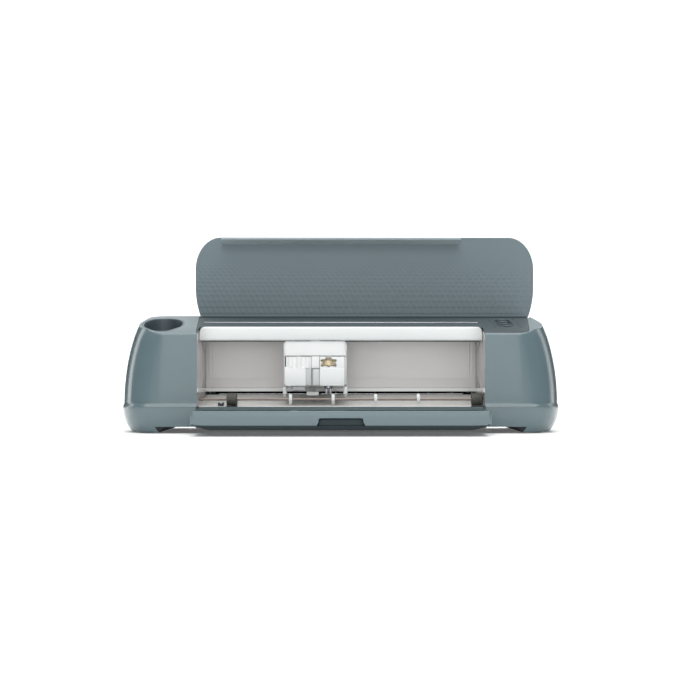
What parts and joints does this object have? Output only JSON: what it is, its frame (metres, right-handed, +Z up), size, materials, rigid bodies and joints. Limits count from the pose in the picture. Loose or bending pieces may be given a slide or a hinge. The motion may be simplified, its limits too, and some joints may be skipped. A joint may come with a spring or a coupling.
{
  "type": "die cutting machine",
  "caption": "Desktop die cutting machine with glossy rounded end covers, an open rear-hinged lid, a drop-down front door with a storage tray, and a sliding tool carriage.",
  "frame": {"origin": "centre of the footprint's box, lid and door open as in the picture, on the floor", "axes": "+X to the machine's right seen from the front, +Y to its back, +Z up"},
  "size_m": [0.564, 0.26, 0.2624],
  "materials": {
    "shell_gloss": "gloss teal grey",
    "shell_matte": "matte teal grey, embossed on the lid's inside",
    "deck_dark": "fine texture",
    "panel_gloss": "gloss",
    "button": "satin",
    "soft_dark": "matte",
    "inner_light": "satin",
    "white_plastic": "satin",
    "grey_plastic": "satin",
    "black_plastic": "matte",
    "belt_rubber": "matte",
    "grit": "grit coated",
    "steel": "satin",
    "brass": "gold anodised look",
    "board": "solder mask"
  },
  "bodies": {
    "body": {"base_tray": "shell_gloss", "rubber_feet": "soft_dark", "case_screws": "steel", "left_end_cover": "shell_gloss", "right_end_cover": "shell_gloss", "rear_cover": "shell_gloss", "top_deck": "deck_dark", "hinge_trough": "black_plastic", "button_panel": "panel_gloss", "cup_liner": "shell_gloss", "cup_mat": "soft_dark", "left_side_frame": "inner_light", "right_side_frame": "inner_light", "chassis_plate": "steel", "back_panel": "inner_light", "rear_slot_lip": "white_plastic", "platen": "inner_light", "cutting_strip": "soft_dark", "beam_cover": "white_plastic", "guide_rail": "steel", "rear_rail": "steel", "drive_belt": "belt_rubber", "carriage_motor": "steel", "feed_motor": "steel", "mat_guides": "inner_light", "main_board": "board", "rear_sockets": "black_plastic", "lid_hinge_pins": "steel", "door_hinge_pins": "steel"},
    "power": {"power_button": "button"},
    "pause": {"pause_button": "button"},
    "load": {"load_button": "button"},
    "go": {"go_button": "button"},
    "lid": {"lid_shell": "shell_gloss", "lid_liner": "shell_matte", "lid_hinge_arms": "shell_matte"},
    "door": {"door_shell": "shell_gloss", "door_tray": "deck_dark"},
    "flap": {"door_flap": "shell_matte"},
    "carriage": {"carriage_chassis": "grey_plastic", "carriage_cover": "white_plastic", "carriage_bushings": "black_plastic", "drive_motor": "steel"},
    "clamp_a": {"clamp_a_lever": "white_plastic"},
    "clamp_b": {"clamp_b_lever": "white_plastic"},
    "tool_a": {"tool_a_adapter": "grey_plastic"},
    "tool_b": {"tool_b_housing": "grey_plastic"},
    "blade": {"blade_gear": "brass", "blade_spindle": "steel"},
    "pinion": {"drive_pinion": "grey_plastic"},
    "motor_wheel": {"motor_pulley": "grey_plastic"},
    "idler_wheel": {"idler_pulley": "grey_plastic"},
    "feed_shaft": {"feed_bar": "steel", "grit_rollers": "grit"},
    "feed_drive": {"feed_pinion": "grey_plastic"},
    "press_shaft": {"press_rollers": "belt_rubber"},
    "star_1": {"star_wheel_1": "white_plastic"},
    "star_2": {"star_wheel_2": "white_plastic"},
    "star_3": {"star_wheel_3": "white_plastic"},
    "star_4": {"star_wheel_4": "white_plastic"}
  },
  "joints": [
    {"name": "lid_hinge", "type": "hinge", "parent": "body", "child": "lid", "pos_m": [0.033, 0.091, 0.127], "axis": [1, 0, 0], "range_deg": [0, 98]},
    {"name": "door_hinge", "type": "hinge", "parent": "body", "child": "door", "pos_m": [0, -0.037, 0.017], "axis": [-1, 0, 0], "range_deg": [0, 90]},
    {"name": "flap_hinge", "type": "hinge", "parent": "door", "child": "flap", "pos_m": [0.058, -0.1118, 0.0272], "axis": [-1, 0, 0], "range_deg": [-100, 0]},
    {"name": "carriage_slide", "type": "slide", "parent": "body", "child": "carriage", "axis": [1, 0, 0], "range_m": [-0.1, 0.165]},
    {"name": "motor_pulley_spin", "type": "hinge", "parent": "body", "child": "motor_wheel", "pos_m": [0.196, 0.004, 0.124], "axis": [0, 1, 0], "continuous": true},
    {"name": "idler_pulley_spin", "type": "hinge", "parent": "body", "child": "idler_wheel", "pos_m": [-0.196, 0.004, 0.124], "axis": [0, 1, 0], "continuous": true},
    {"name": "clamp_a_hinge", "type": "hinge", "parent": "carriage", "child": "clamp_a", "pos_m": [-0.0692, -0.0134, 0.078], "axis": [0, 0, 1], "range_deg": [-100, 0]},
    {"name": "clamp_b_hinge", "type": "hinge", "parent": "carriage", "child": "clamp_b", "pos_m": [0.0022, -0.0134, 0.078], "axis": [0, 0, -1], "range_deg": [-100, 0]},
    {"name": "tool_a_plunge", "type": "slide", "parent": "carriage", "child": "tool_a", "axis": [0, 0, -1], "range_m": [0, 0.012]},
    {"name": "tool_b_plunge", "type": "slide", "parent": "carriage", "child": "tool_b", "axis": [0, 0, -1], "range_m": [0, 0.012]},
    {"name": "blade_spin", "type": "hinge", "parent": "tool_b", "child": "blade", "pos_m": [-0.016, -0.0045, 0.088], "axis": [0, 0, 1], "continuous": true},
    {"name": "pinion_spin", "type": "hinge", "parent": "carriage", "child": "pinion", "pos_m": [-0.016, 0.0099, 0.082], "axis": [0, 0, 1], "continuous": true},
    {"name": "feed_shaft_spin", "type": "hinge", "parent": "body", "child": "feed_shaft", "pos_m": [0, -0.0145, 0.0422], "axis": [1, 0, 0], "continuous": true},
    {"name": "feed_pinion_spin", "type": "hinge", "parent": "body", "child": "feed_drive", "pos_m": [0.191, 0.0071, 0.0422], "axis": [1, 0, 0], "continuous": true},
    {"name": "press_roller_spin", "type": "hinge", "parent": "body", "child": "press_shaft", "pos_m": [0, -0.0145, 0.0293], "axis": [1, 0, 0], "continuous": true},
    {"name": "star_wheel_1_slide", "type": "slide", "parent": "feed_shaft", "child": "star_1", "axis": [1, 0, 0], "range_m": [0, 0.038]},
    {"name": "star_wheel_2_slide", "type": "slide", "parent": "feed_shaft", "child": "star_2", "axis": [1, 0, 0], "range_m": [0, 0.038]},
    {"name": "star_wheel_3_slide", "type": "slide", "parent": "feed_shaft", "child": "star_3", "axis": [1, 0, 0], "range_m": [0, 0.038]},
    {"name": "star_wheel_4_slide", "type": "slide", "parent": "feed_shaft", "child": "star_4", "axis": [1, 0, 0], "range_m": [0, 0.038]},
    {"name": "power_press", "type": "slide", "parent": "body", "child": "power", "axis": [0, 0.1702, -0.9854], "range_m": [0, 0.0012], "stiffness_N_per_m": 400},
    {"name": "pause_press", "type": "slide", "parent": "body", "child": "pause", "axis": [0, 0.1702, -0.9854], "range_m": [0, 0.0012], "stiffness_N_per_m": 400},
    {"name": "load_press", "type": "slide", "parent": "body", "child": "load", "axis": [0, 0.1702, -0.9854], "range_m": [0, 0.0012], "stiffness_N_per_m": 400},
    {"name": "go_press", "type": "slide", "parent": "body", "child": "go", "axis": [0, 0.1702, -0.9854], "range_m": [0, 0.0012], "stiffness_N_per_m": 400}
  ],
  "couplings": [
    {"joint": "motor_pulley_spin", "follows": "carriage_slide", "rad_per_m": 166.67},
    {"joint": "idler_pulley_spin", "follows": "carriage_slide", "rad_per_m": 166.67},
    {"joint": "pinion_spin", "follows": "blade_spin", "ratio": -2},
    {"joint": "feed_pinion_spin", "follows": "feed_shaft_spin", "ratio": -2},
    {"joint": "press_roller_spin", "follows": "feed_shaft_spin", "ratio": -1.7174}
  ]
}
